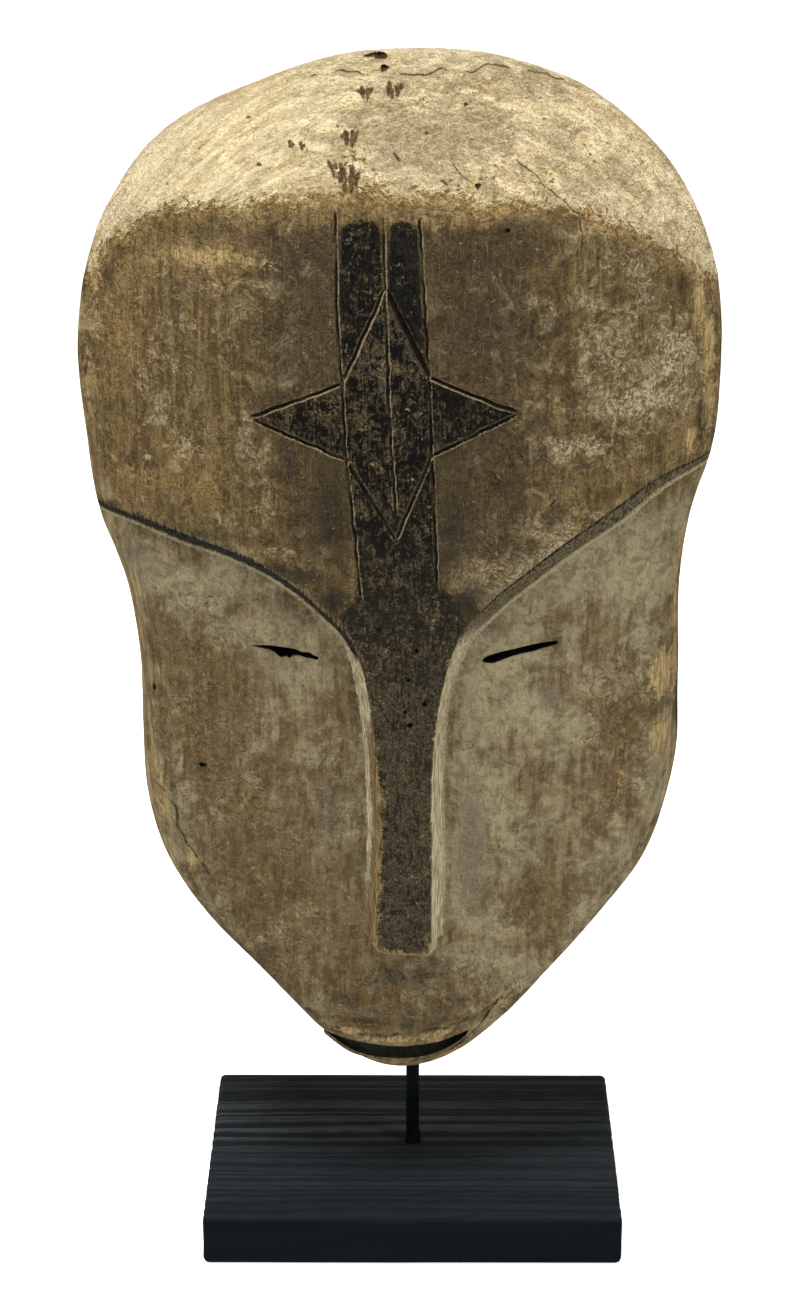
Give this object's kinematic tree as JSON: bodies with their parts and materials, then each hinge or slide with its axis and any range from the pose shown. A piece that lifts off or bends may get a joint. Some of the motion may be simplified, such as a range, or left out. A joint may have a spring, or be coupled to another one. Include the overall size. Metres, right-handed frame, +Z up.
{
  "type": "carved wooden face mask on a rod stand",
  "caption": "Hollow carved wooden face mask with a high forehead, slit eyes and an incised star, standing on a steel rod in a flat black block.",
  "frame": {"origin": "middle of the block's underside", "axes": "+Z up, the face looks along -Y, +X to the viewer's right"},
  "size_m": [0.2578, 0.1548, 0.4952],
  "materials": {
    "carved_wood": "old dry wood with rubbed pale clay, brown patina and black pigment",
    "rod_steel": "black painted steel, slightly glossy",
    "block_wood": "black stain on brushed softwood, satin"
  },
  "bodies": {
    "root": {"mask": "carved_wood", "stand_rod": "rod_steel", "stand_block": "block_wood"}
  },
  "joints": []
}
